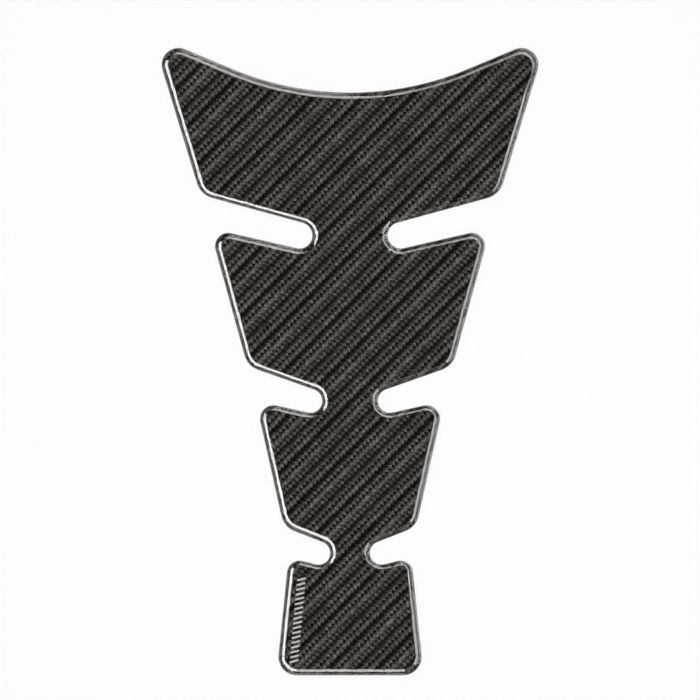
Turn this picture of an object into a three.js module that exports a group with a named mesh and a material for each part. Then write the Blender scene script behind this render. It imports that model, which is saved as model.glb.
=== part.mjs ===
import * as THREE from 'three';

// Motorcycle tank pad in millimetres: a printed film with a clear resin dome poured on it.
// It lies on its adhesive back at Z = 0, with +Y towards the wide end and the dome facing +Z.

// Layers. The rim is the rounded strip inside the edge, and the crown is the level rest. The rim
// rises from the edge at the edge angle, and the pulls are the lengths of its curve's handles.
const filmThickness = 0.25;
const domeHeight = 1.6;
const rimWidth = 4.0;
const edgeAngle = 58;
const edgePull = 1.5;
const crownPull = 0.9;

// Foot panel, the lowest. Widths and heights run between the sharp corners that the fillets round.
const footBaseWidth = 50.8;
const footTopWidth = 42.4;
const footHeight = 40.7;
const footBaseFillet = 6.4;
const footTopFillet = 4.4;

// Lower notch, on both sides. The mouth is measured upwards from corner to corner, the neck is
// what is left between the two round ends, and an end lies this far below the corner above it.
const lowerNotchMouth = 10.5;
const lowerNeckWidth = 13.7;
const lowerNotchEndRadius = 4.0;
const lowerNotchEndBelow = 9.0;

const lowerPanelBaseWidth = 45.7;
const lowerPanelTopWidth = 65.1;
const lowerPanelHeight = 43.5;
const lowerPanelBaseFillet = 7.4;
const lowerPanelTopFillet = 4.7;

const middleNotchMouth = 12.0;
const middleNeckWidth = 19.2;
const middleNotchEndRadius = 4.1;
const middleNotchEndBelow = 12.0;

const upperPanelBaseWidth = 70.8;
const upperPanelTopWidth = 96.9;
const upperPanelHeight = 47.6;
const upperPanelBaseFillet = 7.5;
const upperPanelTopFillet = 4.6;

const upperNotchMouth = 11.5;
const upperNeckWidth = 26.0;
const upperNotchEndRadius = 4.5;
const upperNotchEndBelow = 14.0;

// Top panel, with a horn on each side and a shallow hollow arc between the two.
const topPanelBaseWidth = 103.2;
const topPanelWidth = 130.0;
const topPanelHeight = 50.7;
const topPanelBaseFillet = 7.8;
const hornRadius = 5.8;
const topArcRadius = 105.5;
const topArcDepth = 15.4;

// Fineness of the facets.
const chordError = 0.03;
const rimRings = 7;
const leastCornerRadius = 0.05;

const filmColour = 0x393532;
const filmRoughness = 0.45;
const resinColour = 0xe9ebec;
const resinRoughness = 0.05;
const resinOpacity = 0.25;

// Heights above the lower edge, each panel standing on the notch or panel below it.
const footTop = footHeight;
const lowerPanelBase = footTop + lowerNotchMouth;
const lowerPanelTop = lowerPanelBase + lowerPanelHeight;
const upperPanelBase = lowerPanelTop + middleNotchMouth;
const upperPanelTop = upperPanelBase + upperPanelHeight;
const topPanelBase = upperPanelTop + upperNotchMouth;
const padLength = topPanelBase + topPanelHeight;

// A sharp corner that gets a fillet, given by the panel's full width and its height.
function corner(width, height, fillet) {
  return { centre: new THREE.Vector2(width / 2, height), radius: 0, fillet };
}

// A round notch end. It is hollow as seen from the material, so its radius is negative.
function notchEnd(neckWidth, height, endRadius) {
  return { centre: new THREE.Vector2(neckWidth / 2 + endRadius, height), radius: -endRadius };
}

function horn() {
  const centre = new THREE.Vector2(topPanelWidth / 2 - hornRadius, padLength - hornRadius);
  return { centre, radius: hornRadius };
}

function topArc() {
  const centre = new THREE.Vector2(0, padLength - topArcDepth + topArcRadius);
  return { centre, radius: -topArcRadius };
}

function mirrored(station) {
  return { ...station, centre: new THREE.Vector2(-station.centre.x, station.centre.y) };
}

// The corners and circles that the edge goes round, up the right-hand side from the foot.
const rightSide = [
  corner(footBaseWidth, 0, footBaseFillet),
  corner(footTopWidth, footTop, footTopFillet),
  notchEnd(lowerNeckWidth, lowerPanelBase - lowerNotchEndBelow, lowerNotchEndRadius),
  corner(lowerPanelBaseWidth, lowerPanelBase, lowerPanelBaseFillet),
  corner(lowerPanelTopWidth, lowerPanelTop, lowerPanelTopFillet),
  notchEnd(middleNeckWidth, upperPanelBase - middleNotchEndBelow, middleNotchEndRadius),
  corner(upperPanelBaseWidth, upperPanelBase, upperPanelBaseFillet),
  corner(upperPanelTopWidth, upperPanelTop, upperPanelTopFillet),
  notchEnd(upperNeckWidth, topPanelBase - upperNotchEndBelow, upperNotchEndRadius),
  corner(topPanelBaseWidth, topPanelBase, topPanelBaseFillet),
  horn(),
];
const stations = [...rightSide, topArc(), ...rightSide.map(mirrored).reverse()];

// The direction of the straight line that leaves one station and just touches the next.
function headingBetween(from, to) {
  const across = new THREE.Vector2().subVectors(to.centre, from.centre);
  const swell = to.radius - from.radius;
  const run = Math.sqrt(across.lengthSq() - swell * swell);
  return across.angle() - Math.atan2(swell, run);
}

// The edge turns left round a corner and right round a hollow, by a quarter turn or so.
function turnBetween(start, end, radius) {
  const usual = (Math.sign(radius) * Math.PI) / 2;
  const rest = end - start - usual;
  return usual + rest - 2 * Math.PI * Math.round(rest / (2 * Math.PI));
}

// The material lies to the left of the edge.
function inwardsFrom(heading) {
  return new THREE.Vector2(-Math.sin(heading), Math.cos(heading));
}

// The step from a corner to a point that lies one unit in from both of its edges.
function stepIn(start, turn) {
  const both = inwardsFrom(start).add(inwardsFrom(start + turn));
  return both.divideScalar(1 + Math.cos(turn));
}

// Each station becomes the arc that joins the straight line before it to the one after it.
function arcAt(station, i) {
  const before = stations[(i + stations.length - 1) % stations.length];
  const after = stations[(i + 1) % stations.length];
  const radius = station.fillet ?? station.radius;
  const start = headingBetween(before, station);
  const turn = turnBetween(start, headingBetween(station, after), radius);
  const centre = station.centre.clone();
  if (station.fillet) {
    centre.addScaledVector(stepIn(start, turn), station.fillet);
  }
  const facetTurn = 2 * Math.acos(1 - chordError / Math.abs(radius));
  const facets = Math.max(2, Math.ceil(Math.abs(turn) / facetTurn));
  return { centre, radius, start, turn, facets };
}

const arcs = stations.map(arcAt);

// The outline moved inwards by a distance. A corner rounder than the distance keeps its centre, and
// a tighter one moves further in, so that every inset has the same number of points.
function outlineAt(inset) {
  const points = [];
  for (const { centre, radius, start, turn, facets } of arcs) {
    const lacking = inset + leastCornerRadius - radius;
    const middle = centre.clone();
    let left = radius - inset;
    if (radius > 0 && lacking > 0) {
      middle.addScaledVector(stepIn(start, turn), lacking);
      left = leastCornerRadius;
    }
    for (let i = 0; i <= facets; i++) {
      const inwards = inwardsFrom(start + (turn * i) / facets);
      points.push(middle.clone().addScaledVector(inwards, -left));
    }
  }
  return points;
}

// The rim in section, with the way in from the edge as x and the height above the film as y. It is
// steepest at the edge and level at the crown, which is how a liquid's edge stands.
function rimCurve() {
  const edge = new THREE.Vector2(0, 0);
  const leaving = new THREE.Vector2(edgePull, 0).rotateAround(edge, THREE.MathUtils.degToRad(edgeAngle));
  const arriving = new THREE.Vector2(rimWidth - crownPull, domeHeight);
  const crown = new THREE.Vector2(rimWidth, domeHeight);
  return new THREE.CubicBezierCurve(edge, leaving, arriving, crown);
}

// The poured dome: rings of the outline, each further in and higher, closed by two flat ends.
function domeGeometry() {
  const rings = [];
  for (const { x, y } of rimCurve().getPoints(rimRings)) {
    rings.push({ points: outlineAt(x), height: filmThickness + y });
  }
  const count = rings[0].points.length;
  const position = rings.flatMap(({ points, height }) => points.flatMap(({ x, y }) => [x, y, height]));
  const index = [];
  for (let ring = 0; ring < rimRings; ring++) {
    for (let i = 0; i < count; i++) {
      const here = ring * count + i;
      const next = ring * count + ((i + 1) % count);
      index.push(here, next, next + count, here, next + count, here + count);
    }
  }
  for (const [a, b, c] of THREE.ShapeUtils.triangulateShape(rings[0].points, [])) {
    index.push(c, b, a);
  }
  const crown = rimRings * count;
  for (const [a, b, c] of THREE.ShapeUtils.triangulateShape(rings[rimRings].points, [])) {
    index.push(crown + a, crown + b, crown + c);
  }
  const geometry = new THREE.BufferGeometry();
  geometry.setAttribute('position', new THREE.Float32BufferAttribute(position, 3));
  geometry.setIndex(index);
  geometry.computeVertexNormals();
  return geometry;
}

// The film is cut to the outline that the resin then flows out to.
function filmGeometry() {
  const outline = new THREE.Shape(outlineAt(0));
  return new THREE.ExtrudeGeometry(outline, { depth: filmThickness, bevelEnabled: false });
}

const printedFilm = new THREE.Mesh(
  filmGeometry(),
  new THREE.MeshStandardMaterial({ color: filmColour, roughness: filmRoughness, metalness: 0 }),
);
printedFilm.name = 'printed_film';

const resinDome = new THREE.Mesh(
  domeGeometry(),
  new THREE.MeshStandardMaterial({
    color: resinColour,
    roughness: resinRoughness,
    metalness: 0,
    transparent: true,
    opacity: resinOpacity,
  }),
);
resinDome.name = 'resin_dome';

// The origin lies under the middle of the pad's length and width.
const group = new THREE.Group();
group.position.y = -padLength / 2;
group.add(printedFilm, resinDome);
export default group;
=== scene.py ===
import math

import bpy
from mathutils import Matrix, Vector
from mathutils.geometry import interpolate_bezier


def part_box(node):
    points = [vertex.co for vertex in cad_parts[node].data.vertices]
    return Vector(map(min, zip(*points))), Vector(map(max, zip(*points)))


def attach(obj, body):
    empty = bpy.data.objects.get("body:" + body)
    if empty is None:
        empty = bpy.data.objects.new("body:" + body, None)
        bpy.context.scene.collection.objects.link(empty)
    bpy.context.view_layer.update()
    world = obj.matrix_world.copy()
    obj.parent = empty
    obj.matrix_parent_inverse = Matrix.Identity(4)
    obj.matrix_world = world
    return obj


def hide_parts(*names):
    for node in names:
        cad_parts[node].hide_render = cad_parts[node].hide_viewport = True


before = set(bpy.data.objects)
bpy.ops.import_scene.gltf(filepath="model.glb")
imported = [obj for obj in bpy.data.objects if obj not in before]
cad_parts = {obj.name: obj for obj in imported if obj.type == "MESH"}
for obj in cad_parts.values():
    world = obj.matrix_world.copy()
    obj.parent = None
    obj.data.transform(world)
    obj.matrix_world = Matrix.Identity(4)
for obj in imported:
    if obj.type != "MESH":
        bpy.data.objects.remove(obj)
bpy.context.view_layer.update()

bpy.ops.object.select_all(action="DESELECT")
scene = bpy.context.scene
scene.view_settings.view_transform = "Standard"

# Camera
# It looks straight down on the pad, which fills the height of the picture, with its wide end up.
# A long lens keeps the edges of the pad as upright as its middle.
picture_span = 0.2416
camera_offset = 0.00402
camera_lens = 200
camera_data = bpy.data.cameras.new("camera")
camera_data.lens = camera_lens
camera_height = picture_span * camera_lens / camera_data.sensor_width
camera = bpy.data.objects.new("camera", camera_data)
camera.location = (0, camera_offset, camera_height)
scene.collection.objects.link(camera)
scene.camera = camera

# Studio
# White walls that fade into a dark ceiling, so that the level resin mirrors nothing bright. The
# fade runs from the walls' top to the ceiling's edge, given by the sines of their elevations.
wall_brightness = 1.0
ceiling_brightness = 0.02
wall_top = 0.12
ceiling_edge = 0.24
world = bpy.data.worlds.new("studio")
world.use_nodes = True
scene.world = world
nodes = world.node_tree.nodes
links = world.node_tree.links
direction = nodes.new("ShaderNodeTexCoord")
split = nodes.new("ShaderNodeSeparateXYZ")
links.new(direction.outputs["Generated"], split.inputs["Vector"])
room = nodes.new("ShaderNodeValToRGB")
room.color_ramp.elements[0].position = wall_top
room.color_ramp.elements[0].color = (wall_brightness, wall_brightness, wall_brightness, 1)
room.color_ramp.elements[1].position = ceiling_edge
room.color_ramp.elements[1].color = (ceiling_brightness, ceiling_brightness, ceiling_brightness, 1)
links.new(split.outputs["Z"], room.inputs["Fac"])
links.new(room.outputs["Color"], nodes["Background"].inputs["Color"])


def panel_light(name, azimuth, elevation, distance, width, height, radiance):
    """A rectangular soft light aimed at the pad. Azimuth 0 is +X and 90 is +Y."""
    light = bpy.data.lights.new(name, "AREA")
    light.shape = "RECTANGLE"
    light.size = width
    light.size_y = height
    light.energy = radiance * math.pi * width * height
    lamp = bpy.data.objects.new(name, light)
    turn = math.radians(azimuth)
    lift = math.radians(elevation)
    towards = Vector((math.cos(turn) * math.cos(lift), math.sin(turn) * math.cos(lift), math.sin(lift)))
    lamp.location = towards * distance
    lamp.rotation_euler = towards.to_track_quat("Z", "Y").to_euler()
    scene.collection.objects.link(lamp)
    return lamp


# A broad light overhead sets the level of the colours. It isn't mirrored in the resin.
overhead_distance = 1.6
overhead_size = 1.6
overhead_radiance = 3.98
overhead = panel_light(
    "overhead", 90, 90, overhead_distance, overhead_size, overhead_size, overhead_radiance
)
overhead.visible_glossy = False
overhead.visible_transmission = False
overhead.visible_camera = False

# These lamps are only seen mirrored. From above, the strips show as the bright line along the rim,
# and the middle and low panels as the grey line outside it. None stands from 14 to 19 degrees up,
# so that the level resin stays clear in a low view.
# Each has its azimuth, elevation, width, height and radiance.
lamp_distance = 1.0
mirrored_lamps = {
    "strip_left": (177, 45.5, 0.76, 0.34, 19),
    "strip_front_left": (232, 45.5, 0.80, 0.34, 19),
    "strip_front": (270, 41, 0.22, 0.30, 11),
    "strip_front_right": (296, 44, 0.36, 0.28, 1.3),
    "strip_right": (337, 45, 0.52, 0.32, 9),
    "strip_right_back": (27, 44, 0.80, 0.28, 7.4),
    "strip_back_right": (73.4, 44.5, 0.508, 0.30, 9.6),
    "strip_back_left": (99, 44, 0.125, 0.28, 5.8),
    "strip_back_end": (110.5, 44, 0.164, 0.28, 2.3),
    "middle_left": (180, 25, 0.78, 0.12, 2.8),
    "middle_front_left": (232, 25, 0.84, 0.12, 2.3),
    "middle_front_right": (290, 25, 0.30, 0.12, 1.5),
    "middle_right": (345, 25, 0.70, 0.12, 4.2),
    "middle_right_back": (36, 25, 0.80, 0.12, 3.0),
    "middle_back": (74, 27, 0.50, 0.09, 5.0),
    "middle_back_left": (140, 25, 0.70, 0.12, 2.0),
    "low_left": (195, 6, 0.90, 0.16, 3.0),
    "low_front": (258, 6, 0.70, 0.16, 4.6),
    "low_right": (352, 7, 0.90, 0.18, 11.0),
    "low_right_back": (38, 7, 0.80, 0.18, 10.0),
    "low_back": (74, 7, 0.55, 0.18, 11.0),
}
for name, (azimuth, elevation, width, height, radiance) in mirrored_lamps.items():
    lamp = panel_light(name, azimuth, elevation, lamp_distance, width, height, radiance)
    lamp.visible_diffuse = False
    lamp.visible_camera = False

# Floor
# A pale sheet that the pad lies on, large enough to reach past the view from any side.
floor_size = 6.0
floor_white = (0.98, 0.98, 0.98, 1)
floor_roughness = 0.9
bpy.ops.mesh.primitive_plane_add(size=floor_size, location=(0, 0, 0))
floor = bpy.context.object
floor.name = "floor"
paper = bpy.data.materials.new("floor_paper")
paper.use_nodes = True
shader = paper.node_tree.nodes["Principled BSDF"]
shader.inputs["Base Color"].default_value = floor_white
shader.inputs["Roughness"].default_value = floor_roughness
shader.inputs["Specular IOR Level"].default_value = 0.0
floor.data.materials.append(paper)

# Printed film
# Vinyl film with a carbon look printed on its face and the adhesive on its back. It is cut from
# a sheet, so its edge is square, apart from the crease that the blade leaves at the top.
film_low, film_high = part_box("printed_film")
film_top = film_high.z
blade_depth = 0.00005
blade_width = 0.00002
film_smooth_angle = math.radians(30)
merge_distance = 1e-6
faces_down = -0.9
faces_up = 0.5
arc_cuts = 4
setback = 0.00002
straight_ratio = 1.5


def cut_outline():
    """The corners of the film's outline, anticlockwise, from the underside of the CAD node."""
    bpy.ops.object.select_all(action="DESELECT")
    blank = bpy.data.objects.new("blank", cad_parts["printed_film"].data.copy())
    scene.collection.objects.link(blank)
    bpy.context.view_layer.objects.active = blank
    blank.select_set(True)
    bpy.ops.object.mode_set(mode="EDIT")
    bpy.ops.mesh.select_all(action="SELECT")
    bpy.ops.mesh.remove_doubles(threshold=merge_distance)
    bpy.ops.mesh.select_mode(type="FACE")
    bpy.ops.object.mode_set(mode="OBJECT")
    for face in blank.data.polygons:
        face.select = face.normal.z > faces_down
    bpy.ops.object.mode_set(mode="EDIT")
    bpy.ops.mesh.delete(type="FACE")
    bpy.ops.mesh.select_all(action="SELECT")
    bpy.ops.mesh.dissolve_faces()
    bpy.ops.object.mode_set(mode="OBJECT")
    corners = [blank.data.vertices[i].co.copy() for i in blank.data.polygons[0].vertices]
    mesh = blank.data
    bpy.data.objects.remove(blank)
    bpy.data.meshes.remove(mesh)
    return corners[::-1]


def rounded(corners):
    """The outline with more points on its arcs. A facet longer than its neighbours is a straight."""
    count = len(corners)
    sides = [corners[(i + 1) % count] - corners[i] for i in range(count)]

    def is_straight(i):
        longest = max(sides[i - 1].length, sides[(i + 1) % count].length)
        return sides[i].length > straight_ratio * longest

    def heading(i):
        if is_straight(i - 1):
            return sides[i - 1].normalized()
        if is_straight(i):
            return sides[i].normalized()
        return (sides[i - 1].normalized() + sides[i].normalized()).normalized()

    points = []
    for i, side in enumerate(sides):
        if is_straight(i):
            points.append(corners[i])
            continue
        end = corners[i] + side
        reach = side.length / 3
        leave = corners[i] + heading(i) * reach
        arrive = end - heading((i + 1) % count) * reach
        points += interpolate_bezier(corners[i], leave, arrive, end, arc_cuts + 1)[:-1]
    return points


def drawn_in(points, distance):
    """The outline moved inwards a little, so that its rounder arcs stay inside the CAD's box."""
    moved = []
    for before, point, after in zip(points[-1:] + points[:-1], points, points[1:] + points[:1]):
        along = (after - before).normalized()
        moved.append(point + Vector((-along.y, along.x, 0)) * distance)
    return moved


def flat_blank(name, points, height):
    """One flat face with the outline at a height, left selected in edit mode."""
    bpy.ops.object.select_all(action="DESELECT")
    bpy.ops.mesh.primitive_circle_add(vertices=len(points), fill_type="NGON")
    blank = bpy.context.object
    blank.name = name
    for vertex, point in zip(blank.data.vertices, points):
        vertex.co = (point.x, point.y, height)
    bpy.ops.object.mode_set(mode="EDIT")
    bpy.ops.mesh.select_mode(type="FACE")
    bpy.ops.mesh.select_all(action="SELECT")
    return blank


outline = drawn_in(rounded(cut_outline()), setback)
film = flat_blank("carbon_film", outline, film_low.z)
bpy.ops.mesh.extrude_region_move(
    TRANSFORM_OT_translate={"value": (0, 0, film_top - film_low.z - blade_depth)}
)
bpy.ops.mesh.inset(thickness=blade_width, depth=blade_depth, use_even_offset=True)
bpy.ops.mesh.select_all(action="SELECT")
bpy.ops.mesh.normals_make_consistent(inside=False)
bpy.ops.object.mode_set(mode="OBJECT")
bpy.ops.object.shade_smooth_by_angle(angle=film_smooth_angle)

# The print is a fancy twill: floats of one to three threads, across and up the pad, that step by
# one thread from row to row, so that they line up in slanting bands.
thread_across = 0.001196
thread_up = 0.0011387
thread_lean = 0.05675
print_start = Vector((0.0146, 0.0008))
print_roughness = 0.3
shade_reach = 0.999
ink_strength = 1.025
darkest_ink = 0.0005
red_excess = 0.0425
blue_lack = 0.0295
warmth_power = 0.583
thread_contrast = 0.6
blot_size = 0.00036
blot_detail = 1.0
blot_contrast = 4.2
cloud_size = 0.012
cloud_detail = 0.0
cloud_contrast = 0.5
strip_start = Vector((-0.01935, -0.10364))
strip_end = Vector((-0.01664, -0.07368))
strip_width = 0.00283
bar_pitch = 0.00167
bar_width = 0.0006
bar_slant = 0.35
silver_ink = (0.62, 0.60, 0.57, 1)
patch_detail = 4.0
haze_size = 0.006
vinyl_smoothest = 0.22
vinyl_dullest = 0.42
vinyl_black = (0.016, 0.016, 0.017, 1)
adhesive_grey = (0.060, 0.059, 0.056, 1)

print_material = bpy.data.materials.new("carbon_print")
print_material.use_nodes = True
nodes = print_material.node_tree.nodes
links = print_material.node_tree.links
shader = nodes["Principled BSDF"]


def maths(operation, *values):
    """A Math node whose inputs are numbers or other nodes' outputs."""
    node = nodes.new("ShaderNodeMath")
    node.operation = operation
    for socket, value in zip(node.inputs, values):
        if isinstance(value, (int, float)):
            socket.default_value = value
        else:
            links.new(value, socket)
    return node.outputs[0]


place = nodes.new("ShaderNodeTexCoord")
split = nodes.new("ShaderNodeSeparateXYZ")
links.new(place.outputs["Object"], split.inputs["Vector"])
across = maths("SUBTRACT", split.outputs["X"], print_start.x)
up = maths("SUBTRACT", split.outputs["Y"], print_start.y)
column = maths("DIVIDE", maths("MULTIPLY_ADD", up, thread_lean, across), thread_across)
row = maths("DIVIDE", up, thread_up)
column_number = maths("FLOOR", column)
row_number = maths("FLOOR", row)

# Each float has the way its thread runs, how many threads it passes, and its shades from one end
# to the other, as 8-bit greys at parts of its length.
rising = ((0.0, 12), (0.38, 17), (0.62, 47), (1.0, 98))
opening = ((0.0, 20), (0.33, 23), (0.5, 44), (0.64, 58), (1.0, 88))
falling = ((0.0, 96), (0.2, 84), (0.5, 52), (1.0, 8))
swelling = ((0.0, 5), (0.14, 9), (0.36, 50), (0.68, 94), (1.0, 12))
lifting = ((0.0, 5), (0.2, 9), (0.5, 43), (1.0, 96))
crossing = ((0.0, 82), (0.35, 80), (1.0, 44))
floats = (
    ("across", 3, rising),
    ("up", 2, lifting),
    ("across", 2, falling),
    ("up", 1, crossing),
    ("across", 3, opening),
    ("up", 3, swelling),
)
repeat = sum(length for way, length, shades in floats)


def linear(grey):
    """An 8-bit grey as a linear colour."""
    value = grey / 255
    return value / 12.92 if value <= 0.04045 else ((value + 0.055) / 1.055) ** 2.4


def ramp(stops, interpolation):
    """A colour ramp over one repeat of the weave, from stops of thread number and brightness."""
    node = nodes.new("ShaderNodeValToRGB")
    node.color_ramp.interpolation = interpolation
    elements = node.color_ramp.elements
    while len(elements) < len(stops):
        elements.new(0.5)
    for element, (thread, value) in zip(elements, stops):
        element.position = thread / repeat
        element.color = (value, value, value, 1)
    return node


def threads_in(position):
    """A position in threads, wrapped into one repeat of the weave and scaled to 0 to 1."""
    return maths("DIVIDE", maths("FLOORED_MODULO", position, repeat), repeat)


# The floats follow each other in ramps over one repeat, each a hair short of the next one's start.
ways = []
shades_across = []
shades_up = []
start = 0
for way, length, shades in floats:
    ways.append((start, 1.0 if way == "across" else 0.0))
    stops = shades_across if way == "across" else shades_up
    stops += [(start + part * length * shade_reach, linear(grey)) for part, grey in shades]
    start += length

way_ramp = ramp(ways, "CONSTANT")
across_ramp = ramp(shades_across, "LINEAR")
up_ramp = ramp(shades_up, "LINEAR")
cell_middle = maths("ADD", maths("SUBTRACT", column_number, row_number), 0.5)
links.new(threads_in(cell_middle), way_ramp.inputs["Fac"])
links.new(threads_in(maths("SUBTRACT", column, row_number)), across_ramp.inputs["Fac"])
links.new(
    threads_in(maths("ADD", maths("SUBTRACT", column_number, row), 1.0)), up_ramp.inputs["Fac"]
)
weave = nodes.new("ShaderNodeMix")
weave.data_type = "RGBA"
links.new(way_ramp.outputs["Color"], weave.inputs["Factor"])
links.new(up_ramp.outputs["Color"], weave.inputs["A"])
links.new(across_ramp.outputs["Color"], weave.inputs["B"])

# The ink isn't laid on quite evenly: it varies from thread to thread, in small blots and in
# wide clouds.
blots = nodes.new("ShaderNodeTexNoise")
blots.inputs["Scale"].default_value = 1 / blot_size
blots.inputs["Detail"].default_value = blot_detail
links.new(place.outputs["Object"], blots.inputs["Vector"])
clouds = nodes.new("ShaderNodeTexNoise")
clouds.inputs["Scale"].default_value = 1 / cloud_size
clouds.inputs["Detail"].default_value = cloud_detail
links.new(place.outputs["Object"], clouds.inputs["Vector"])
blot_strength = maths("MULTIPLY_ADD", blots.outputs["Fac"], blot_contrast, 1 - blot_contrast / 2)
cloud_strength = maths(
    "MULTIPLY_ADD", clouds.outputs["Fac"], cloud_contrast, ink_strength - cloud_contrast / 2
)
thread = nodes.new("ShaderNodeCombineXYZ")
links.new(column_number, thread.inputs["X"])
links.new(row_number, thread.inputs["Y"])
chance = nodes.new("ShaderNodeTexWhiteNoise")
chance.noise_dimensions = "2D"
links.new(thread.outputs["Vector"], chance.inputs["Vector"])
thread_strength = maths("MULTIPLY_ADD", chance.outputs["Value"], thread_contrast, 1 - thread_contrast / 2)
strength = maths("MULTIPLY", maths("MULTIPLY", blot_strength, cloud_strength), thread_strength)
grey = maths("MAXIMUM", maths("MULTIPLY", weave.outputs["Result"], strength), darkest_ink)

# It is a warm grey, and looks as warm in its darkest shades as in its lightest, so red gains and
# blue loses an amount that falls off more slowly than the grey does.
warmth = maths("POWER", grey, warmth_power)
ink = nodes.new("ShaderNodeCombineXYZ")
links.new(maths("MULTIPLY_ADD", warmth, red_excess, grey), ink.inputs["X"])
links.new(grey, ink.inputs["Y"])
links.new(maths("MULTIPLY_ADD", warmth, -blue_lack, grey), ink.inputs["Z"])

# A plain silver strip of slanted bars is printed along the foot's left side.
along_strip = strip_end - strip_start
strip_length = along_strip.length
heading = along_strip.normalized()
strip_x = maths("SUBTRACT", split.outputs["X"], strip_start.x)
strip_y = maths("SUBTRACT", split.outputs["Y"], strip_start.y)
along = maths("MULTIPLY_ADD", strip_x, heading.x, maths("MULTIPLY", strip_y, heading.y))
aside = maths("MULTIPLY_ADD", strip_x, -heading.y, maths("MULTIPLY", strip_y, heading.x))
bar_place = maths("MULTIPLY_ADD", aside, bar_slant, along)
in_bar = maths("LESS_THAN", maths("FLOORED_MODULO", bar_place, bar_pitch), bar_width)
in_width = maths("COMPARE", aside, 0.0, strip_width / 2)
in_length = maths("COMPARE", bar_place, strip_length / 2, strip_length / 2)
on_bar = maths("MULTIPLY", in_bar, maths("MULTIPLY", in_width, in_length))
silver = nodes.new("ShaderNodeMix")
silver.data_type = "RGBA"
silver.inputs["B"].default_value = silver_ink
links.new(on_bar, silver.inputs["Factor"])
links.new(ink.outputs["Vector"], silver.inputs["A"])
links.new(silver.outputs["Result"], shader.inputs["Base Color"])
shader.inputs["Roughness"].default_value = print_roughness
shader.inputs["Specular IOR Level"].default_value = 0.0

# The cut sides and the back are the film's own black vinyl, hazy with adhesive. Its polish varies
# in patches, and so does the resin's.
uneven_polish = bpy.data.node_groups.new("uneven_polish", "ShaderNodeTree")
for socket_name in ("Patch Size", "Smoothest", "Dullest"):
    uneven_polish.interface.new_socket(socket_name, in_out="INPUT", socket_type="NodeSocketFloat")
for socket_name in ("Amount", "Roughness"):
    uneven_polish.interface.new_socket(socket_name, in_out="OUTPUT", socket_type="NodeSocketFloat")
nodes = uneven_polish.nodes
links = uneven_polish.links
given = nodes.new("NodeGroupInput")
place = nodes.new("ShaderNodeTexCoord")
fineness = nodes.new("ShaderNodeMath")
fineness.operation = "DIVIDE"
fineness.inputs[0].default_value = 1.0
links.new(given.outputs["Patch Size"], fineness.inputs[1])
patches = nodes.new("ShaderNodeTexNoise")
patches.inputs["Detail"].default_value = patch_detail
links.new(place.outputs["Object"], patches.inputs["Vector"])
links.new(fineness.outputs["Value"], patches.inputs["Scale"])
polish = nodes.new("ShaderNodeMapRange")
links.new(patches.outputs["Fac"], polish.inputs["Value"])
links.new(given.outputs["Smoothest"], polish.inputs["To Min"])
links.new(given.outputs["Dullest"], polish.inputs["To Max"])
result = nodes.new("NodeGroupOutput")
links.new(patches.outputs["Fac"], result.inputs["Amount"])
links.new(polish.outputs["Result"], result.inputs["Roughness"])

vinyl = bpy.data.materials.new("adhesive_back")
vinyl.use_nodes = True
nodes = vinyl.node_tree.nodes
links = vinyl.node_tree.links
shader = nodes["Principled BSDF"]
haze = nodes.new("ShaderNodeGroup")
haze.node_tree = uneven_polish
haze.inputs["Patch Size"].default_value = haze_size
haze.inputs["Smoothest"].default_value = vinyl_smoothest
haze.inputs["Dullest"].default_value = vinyl_dullest
hazy = nodes.new("ShaderNodeMix")
hazy.data_type = "RGBA"
hazy.inputs["A"].default_value = vinyl_black
hazy.inputs["B"].default_value = adhesive_grey
links.new(haze.outputs["Amount"], hazy.inputs["Factor"])
links.new(hazy.outputs["Result"], shader.inputs["Base Color"])
links.new(haze.outputs["Roughness"], shader.inputs["Roughness"])

# Only the level face is printed. The sides, the blade's crease and the back are bare vinyl.
film.data.materials.append(print_material)
film.data.materials.append(vinyl)
for face in film.data.polygons:
    face.material_index = 0 if face.normal.z > faces_up else 1
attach(film, "root")
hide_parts("printed_film")

# Resin dome
# Clear polyurethane poured on the print. It flows out to the film's edge, where surface tension
# stops it and rounds its rim, and it sets level and glossy over the rest.
dome_low, dome_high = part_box("resin_dome")
resin_overlap = blade_depth
rim_width = 0.004
edge_angle = math.radians(58)
edge_pull = 0.0015
crown_pull = 0.0009
rim_rings = 24
crown_margin = 0.0001
ripple_size = 0.02
resin_smoothest = 0.01
resin_dullest = 0.03
resin_index = 1.5
dome_smooth_angle = math.radians(45)

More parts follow.
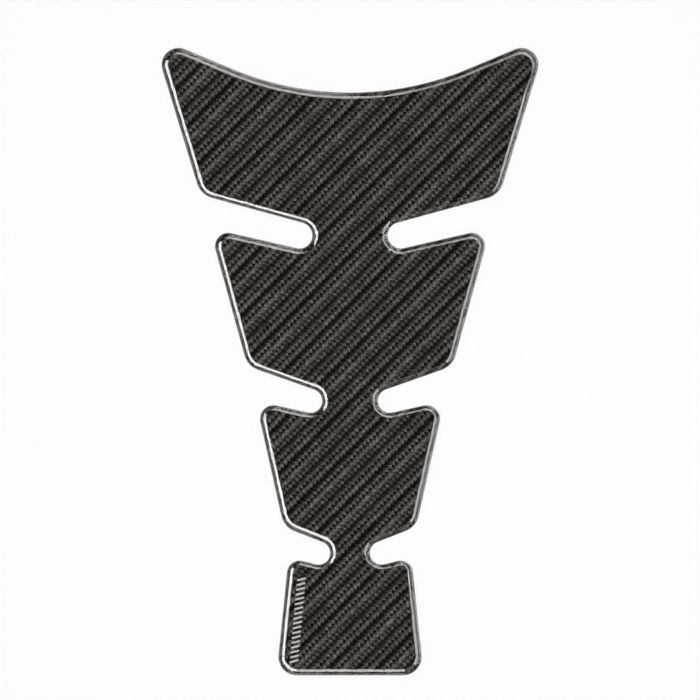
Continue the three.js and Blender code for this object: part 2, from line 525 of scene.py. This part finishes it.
# Its underside lies a hair below the print's face, so that no air is left between the two.
dome = flat_blank("clear_dome", outline, dome_low.z - resin_overlap)
bpy.ops.mesh.extrude_region_move(TRANSFORM_OT_translate={"value": (0, 0, resin_overlap)})
dome_height = dome_high.z - dome_low.z
rim = interpolate_bezier(
    Vector((0, 0, 0)),
    Vector((edge_pull * math.cos(edge_angle), 0, edge_pull * math.sin(edge_angle))),
    Vector((rim_width - crown_pull, 0, dome_height)),
    Vector((rim_width, 0, dome_height)),
    rim_rings + 1,
)
for lower, upper in zip(rim, rim[1:]):
    bpy.ops.mesh.inset(thickness=upper.x - lower.x, depth=upper.z - lower.z, use_even_offset=True)
bpy.ops.mesh.inset(thickness=crown_margin, use_even_offset=True)
bpy.ops.mesh.select_all(action="SELECT")
bpy.ops.mesh.normals_make_consistent(inside=False)
bpy.ops.object.mode_set(mode="OBJECT")
bpy.ops.object.shade_smooth_by_angle(angle=dome_smooth_angle)

resin = bpy.data.materials.new("clear_resin")
resin.use_nodes = True
nodes = resin.node_tree.nodes
links = resin.node_tree.links
shader = nodes["Principled BSDF"]
shader.inputs["Base Color"].default_value = (1, 1, 1, 1)
shader.inputs["IOR"].default_value = resin_index
shader.inputs["Transmission Weight"].default_value = 1.0
gloss = nodes.new("ShaderNodeGroup")
gloss.node_tree = uneven_polish
gloss.inputs["Patch Size"].default_value = ripple_size
gloss.inputs["Smoothest"].default_value = resin_smoothest
gloss.inputs["Dullest"].default_value = resin_dullest
links.new(gloss.outputs["Roughness"], shader.inputs["Roughness"])

# The resin lets shadow and diffuse rays straight through, so that the lamps light the print.
let_through = nodes.new("ShaderNodeBsdfTransparent")
ray = nodes.new("ShaderNodeLightPath")
unbent = nodes.new("ShaderNodeMath")
unbent.operation = "MAXIMUM"
links.new(ray.outputs["Is Shadow Ray"], unbent.inputs[0])
links.new(ray.outputs["Is Diffuse Ray"], unbent.inputs[1])
choice = nodes.new("ShaderNodeMixShader")
links.new(unbent.outputs["Value"], choice.inputs["Fac"])
links.new(shader.outputs["BSDF"], choice.inputs[1])
links.new(let_through.outputs["BSDF"], choice.inputs[2])
links.new(choice.outputs["Shader"], nodes["Material Output"].inputs["Surface"])
dome.data.materials.append(resin)
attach(dome, "root")
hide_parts("resin_dome")
